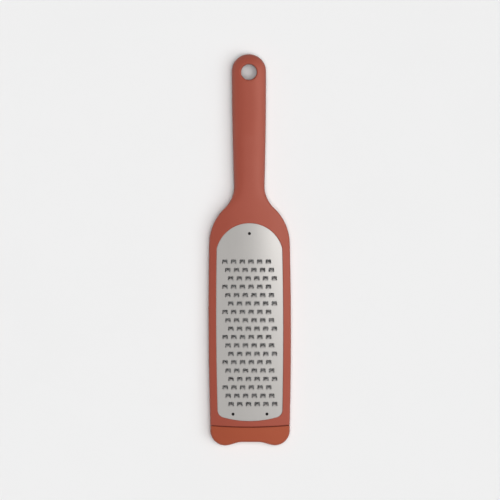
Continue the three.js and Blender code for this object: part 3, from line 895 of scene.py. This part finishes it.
# Finish of the steel: how much rolling lines and clouds change the colour, the lines' part in that, the
# least roughness with what lines and clouds add to it, how close the lines lie, their strength and depth.
STEEL_TONES = 0.06
STEEL_LINE_PART = 0.55
STEEL_ROUGHNESS = 0.36
STEEL_LINE_ROUGHNESS = 0.08
STEEL_CLOUD_ROUGHNESS = 0.04
STEEL_LINES_PER_METRE = (2600, 45, 45)
STEEL_LINE_STRENGTH = 0.12
STEEL_LINE_DEPTH = 0.02 * MM

FLOOR_TONES = 0.02


def new_tree(block):
    """The emptied node tree of a material or a world."""
    block.use_nodes = True
    block.node_tree.nodes.clear()
    return Socket(block.node_tree)


def noise(place, per_metre, detail, stretch=(1, 1, 1)):
    """Noise from 0 to 1 with so many grains to the metre, on coordinates that may be stretched."""
    mapped = place.node("ShaderNodeMapping", Vector=place, Scale=stretch)
    return place.node("ShaderNodeTexNoise", Vector=mapped, Scale=per_metre, Detail=detail,
                      Roughness=NOISE_ROUGHNESS)


def mixed(share, first, second):
    """A colour between two others."""
    return share.node("ShaderNodeMix", {"data_type": "RGBA"}, MIXED_COLOUR, _0=share, _6=(*first, 1),
                      _7=(*second, 1))


def toned(base, tone, spread):
    """A colour that gets darker and lighter by a spread as the tone goes from 0 to 1."""
    dark = [value * (1 - spread) for value in base]
    light = [value * (1 + spread) for value in base]
    return mixed(tone, dark, light)


def surface(tree, **inputs):
    """A Principled shader with these inputs on the material's output."""
    tree.node("ShaderNodeOutputMaterial", Surface=tree.node("ShaderNodeBsdfPrincipled", **inputs))


def moulded_plastic(name, base, roughness, grains_per_metre, grain_depth):
    """Matt moulded plastic: a fine even grain, slight clouds and specks of tone, and patches of polish."""
    material = bpy.data.materials.new(name)
    tree = new_tree(material)
    place = tree.node("ShaderNodeTexCoord", output=OBJECT_PLACE)
    clouds = noise(place, per_metre=35, detail=3)
    specks = noise(place, per_metre=900, detail=2)
    polish = noise(place, per_metre=60, detail=4)
    grain = noise(place, grains_per_metre, detail=3)
    tone = clouds * PLASTIC_CLOUD_PART + specks * (1 - PLASTIC_CLOUD_PART)
    surface(tree,
            Base_Color=toned(base, tone, PLASTIC_TONES),
            Roughness=roughness + (polish - 0.5) * PLASTIC_POLISH,
            Normal=grain.node("ShaderNodeBump", Height=grain, Strength=PLASTIC_GRAIN, Distance=grain_depth),
            Specular_IOR_Level=PLASTIC_SHEEN,
            Specular_Tint=PLASTIC_SHEEN_TINT)
    return material


def satin_steel(name, base):
    """Satin stainless sheet: fine rolling lines along the length, faint clouds, and a soft sheen."""
    material = bpy.data.materials.new(name)
    tree = new_tree(material)
    place = tree.node("ShaderNodeTexCoord", output=OBJECT_PLACE)
    lines = noise(place, per_metre=1, detail=3, stretch=STEEL_LINES_PER_METRE)
    clouds = noise(place, per_metre=40, detail=3)
    tone = lines * STEEL_LINE_PART + clouds * (1 - STEEL_LINE_PART)
    surface(tree,
            Base_Color=toned(base, tone, STEEL_TONES),
            Roughness=STEEL_ROUGHNESS + lines * STEEL_LINE_ROUGHNESS + clouds * STEEL_CLOUD_ROUGHNESS,
            Normal=lines.node("ShaderNodeBump", Height=lines, Strength=STEEL_LINE_STRENGTH,
                              Distance=STEEL_LINE_DEPTH),
            Metallic=1.0)
    return material


class GRATER_OT_frame(bpy.types.Operator):
    """Make the frame with its neck, handle and hang hole"""

    bl_idname = "grater.frame"
    bl_label = "Frame and handle"

    def execute(self, context):
        shape = Shape(context.scene.grater_sizes)
        material = moulded_plastic("terracotta_plastic", context.scene.grater_colours.plastic,
                                   roughness=0.5, grains_per_metre=1500, grain_depth=0.03 * MM)
        points, faces = join_grids([frame_head(shape), handle_loft(shape), handle_end(shape)])
        piece = make_piece("frame_and_handle", points, faces, PLASTIC_CREASE, material)
        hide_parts("frame")
        return {"FINISHED"}


class GRATER_OT_blade(bpy.types.Operator):
    """Make the arched steel blade with its teeth"""

    bl_idname = "grater.blade"
    bl_label = "Toothed blade"

    def execute(self, context):
        shape = Shape(context.scene.grater_sizes)
        material = satin_steel("satin_steel", context.scene.grater_colours.steel)
        points, faces = blade_mesh(shape)
        piece = make_piece("toothed_blade", points, faces, STEEL_CREASE, material)
        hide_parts("blade")
        return {"FINISHED"}


class GRATER_OT_foot(bpy.types.Operator):
    """Make the soft foot with its two lobes"""

    bl_idname = "grater.foot"
    bl_label = "Soft foot"

    def execute(self, context):
        shape = Shape(context.scene.grater_sizes)
        material = moulded_plastic("soft_plastic", context.scene.grater_colours.soft_plastic,
                                   roughness=0.62, grains_per_metre=1100, grain_depth=0.04 * MM)
        points, faces = foot_mesh(shape)
        piece = make_piece("soft_foot", points, faces, PLASTIC_CREASE, material)
        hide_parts("foot")
        return {"FINISHED"}


# The camera stands this high over the table, and this width fills the picture at the view plane's height.
CAMERA_HEIGHT = 4.008
VIEW_WIDTH = 0.399
VIEW_PLANE = 0.008
VIEW_ROLL = -0.0032
VIEW_SHIFT = (0.00042, -0.00022)

# How far the floor reaches each way.
FLOOR_REACH = 3.0

# Painted shade in the floor's colour, standing in for the shade where less of the studio's light gets down
# to the floor: shares of its tone under the teeth, under the last teeth at the right, under the plain
# sheet, and under the hang hole, whose painted shade fades out between two shares of its diameter.
TOOTH_SHADE = 0.57
LAST_TOOTH_SHADE = 0.78
PIN_SHADE = 0.15
HOLE_SHADE = 0.74
HOLE_SHADE_FROM = 0.5
HOLE_SHADE_TO = 0.8

# The studio that the camera and the sheen on the pieces see: its plain level, its gain to both sides and to
# the far right, which grows with a power, and its brightest level. The room's own light is dim.
STUDIO_LEVEL = 0.84
STUDIO_SIDES = 0.9
STUDIO_RIGHT = 5.0
STUDIO_RIGHT_POWER = 10
STUDIO_MOST = 2.4
ROOM_LEVEL = 0.08

# Sun lamps: strength, lean to the right, heading and spread, with the angles in degrees.
TOP_LIGHT = {"strength": 2.2, "lean": 3, "heading": -40, "spread": 34}
KEY_LIGHT = {"strength": 1.18, "lean": 35, "heading": -18, "spread": 44}

# Square lamps that only the sheen shows: power, size, place and lean to the right in degrees.
NECK_GLOW = {"power": 0.72, "size": 0.25, "place": (0.24, 0.13, 0.45), "lean": 24}
LOW_GLOW = {"power": 0.028, "size": 0.2, "place": (-0.02, -0.11, 0.28), "lean": -5}


class GRATER_OT_stage(bpy.types.Operator):
    """Make the pale floor, the lights and the camera straight above"""

    bl_idname = "grater.stage"
    bl_label = "Stage and camera"

    def execute(self, context):
        scene = context.scene
        shape = Shape(scene.grater_sizes)
        floor = add_floor(scene, shape)
        floor.data.materials.append(pale_floor("pale_floor", scene.grater_colours.floor, shape))
        add_world(scene)
        add_sun(scene, "top_light", **TOP_LIGHT)
        add_sun(scene, "key_light", **KEY_LIGHT)
        add_glow(scene, "neck_glow", **NECK_GLOW)
        add_glow(scene, "low_glow", **LOW_GLOW)
        add_camera(scene)
        scene.view_settings.view_transform = "Standard"
        return {"FINISHED"}


def add_floor(scene, shape):
    """A wide level floor: a grid of a few quads, each with a share of painted shade in its colour. Those
    under the blade are painted darker, as shade, since the light comes down only through its holes."""
    s = shape.s
    teeth_top = shape.window_top - s.first_row + s.row_pitch
    teeth_bottom = teeth_top - (TOOTH_ROWS + 1) * s.row_pitch
    last_teeth = s.tooth_pitch * (TOOTH_COLUMNS / 2 - 1)
    x = np.array([-FLOOR_REACH, -shape.window_half, last_teeth, shape.window_half, FLOOR_REACH])
    y = np.array([-FLOOR_REACH, shape.window_bottom, teeth_bottom, teeth_top, shape.window_top,
                  FLOOR_REACH])
    shade = np.ones((len(y) - 1, len(x) - 1))
    # Painted shade: the floor's colour is darker under the blade, where its shade falls.
    shade[1:4, 1:3] = PIN_SHADE
    shade[2, 1:3] = TOOTH_SHADE, LAST_TOOTH_SHADE
    across, along = np.meshgrid(x, y)
    points, faces = skin(np.stack([across, along, 0 * across], axis=-1), False, False)
    mesh = bpy.data.meshes.new("floor")
    mesh.from_pydata(points.tolist(), [], faces.tolist())
    mesh.attributes.new("shade", "FLOAT", "FACE").data.foreach_set("value", shade.ravel())
    floor = bpy.data.objects.new("floor", mesh)
    scene.collection.objects.link(floor)
    return floor


def pale_floor(name, base, shape):
    """Matt paint of one pale tone with the faintest clouds. It takes the floor's painted shade, and is
    painted darker smoothly under the hang hole, as shade."""
    hole = shape.s.hang_hole
    material = bpy.data.materials.new(name)
    tree = new_tree(material)
    place = tree.node("ShaderNodeTexCoord", output=OBJECT_PLACE)
    shade = tree.node("ShaderNodeAttribute", {"attribute_name": "shade"}, ATTRIBUTE_VALUE)
    # Painted shade under the hang hole, fading out with the distance from the hole's centre.
    away = tree.node("ShaderNodeVectorMath", {"operation": "DISTANCE"}, DISTANCE_VALUE,
                     _0=place, _1=(0, shape.hole_y, 0))
    painted_hole_shade = tree.node("ShaderNodeMapRange", {"interpolation_type": "SMOOTHSTEP"}, Value=away,
                           From_Min=HOLE_SHADE_FROM * hole, From_Max=HOLE_SHADE_TO * hole,
                           To_Min=HOLE_SHADE, To_Max=1.0)
    clouds = noise(place, per_metre=8, detail=2)
    # The floor's colour: its painted shade times its faint clouds of tone.
    light = shade * painted_hole_shade * (1 - FLOOR_TONES + clouds * (2 * FLOOR_TONES))
    surface(tree,
            Base_Color=mixed(light, (0, 0, 0), base),
            Roughness=1.0,
            Specular_IOR_Level=0.0)
    return material


def add_world(scene):
    """Dim light from all round; the camera and the sheen on the pieces see a pale studio, brighter at its
    sides and most of all at the right."""
    world = bpy.data.worlds.new("studio")
    tree = new_tree(world)
    direction = tree.node("ShaderNodeTexCoord", output=DIRECTION)
    across = tree.node("ShaderNodeSeparateXYZ", Vector=direction)
    sides = across * across * STUDIO_SIDES
    far_right = across.at_least(0.0) ** STUDIO_RIGHT_POWER * STUDIO_RIGHT
    studio = STUDIO_LEVEL + sides + far_right
    camera = tree.node("ShaderNodeLightPath", output=IS_CAMERA_RAY)
    glossy = tree.node("ShaderNodeLightPath", output=IS_GLOSSY_RAY)
    through = tree.node("ShaderNodeLightPath", output=IS_TRANSMISSION_RAY)
    seen = camera.at_least(glossy).at_least(through)
    level = seen * studio.at_most(STUDIO_MOST) + (1 - seen) * ROOM_LEVEL
    background = tree.node("ShaderNodeBackground", Color=(1, 1, 1, 1), Strength=level)
    tree.node("ShaderNodeOutputWorld", Surface=background)
    scene.world = world


def add_sun(scene, name, strength, lean, heading, spread):
    """A broad sun lamp that the sheen on the pieces doesn't show."""
    lamp = bpy.data.lights.new(name, "SUN")
    lamp.energy = strength
    lamp.angle = math.radians(spread)
    holder = bpy.data.objects.new(name, lamp)
    holder.rotation_euler = (0, math.radians(lean), math.radians(heading))
    holder.visible_glossy = False
    scene.collection.objects.link(holder)


def add_glow(scene, name, power, size, place, lean):
    """A square lamp that only the sheen on the pieces shows."""
    lamp = bpy.data.lights.new(name, "AREA")
    lamp.energy = power
    lamp.size = size
    holder = bpy.data.objects.new(name, lamp)
    holder.location = place
    holder.rotation_euler = (0, math.radians(lean), 0)
    holder.visible_diffuse = False
    scene.collection.objects.link(holder)


def add_camera(scene):
    """A long lens straight above, turned as little as the photograph is."""
    camera = bpy.data.cameras.new("camera")
    camera.lens = camera.sensor_width * (CAMERA_HEIGHT - VIEW_PLANE) / VIEW_WIDTH
    holder = bpy.data.objects.new("camera", camera)
    holder.location = (*VIEW_SHIFT, CAMERA_HEIGHT)
    holder.rotation_euler = (0, 0, VIEW_ROLL)
    scene.collection.objects.link(holder)
    scene.camera = holder


class GRATER_PT_panel(bpy.types.Panel):
    """Lists the grater's pieces and the sizes and colours that they use"""

    bl_idname = "GRATER_PT_panel"
    bl_label = "Coarse grater"
    bl_space_type = "VIEW_3D"
    bl_region_type = "UI"
    bl_category = "Grater"

    def draw(self, context):
        for operator in OPERATORS:
            self.layout.operator(operator.bl_idname)
        for group in (context.scene.grater_sizes, context.scene.grater_colours):
            for name in type(group).__annotations__:
                self.layout.prop(group, name)


OPERATORS = (GRATER_OT_frame, GRATER_OT_blade, GRATER_OT_foot, GRATER_OT_stage)
CLASSES = (GraterSizes, GraterColours, *OPERATORS, GRATER_PT_panel)


def register():
    """Registers the classes and the scene's properties."""
    for item in CLASSES:
        bpy.utils.register_class(item)
    bpy.types.Scene.grater_sizes = bpy.props.PointerProperty(type=GraterSizes)
    bpy.types.Scene.grater_colours = bpy.props.PointerProperty(type=GraterColours)


def unregister():
    """Takes the properties and the classes away again."""
    del bpy.types.Scene.grater_colours
    del bpy.types.Scene.grater_sizes
    for item in reversed(CLASSES):
        bpy.utils.unregister_class(item)


def main():
    register()
    bpy.ops.grater.frame()
    bpy.ops.grater.blade()
    bpy.ops.grater.foot()
    bpy.ops.grater.stage()


if __name__ == "__main__":
    main()
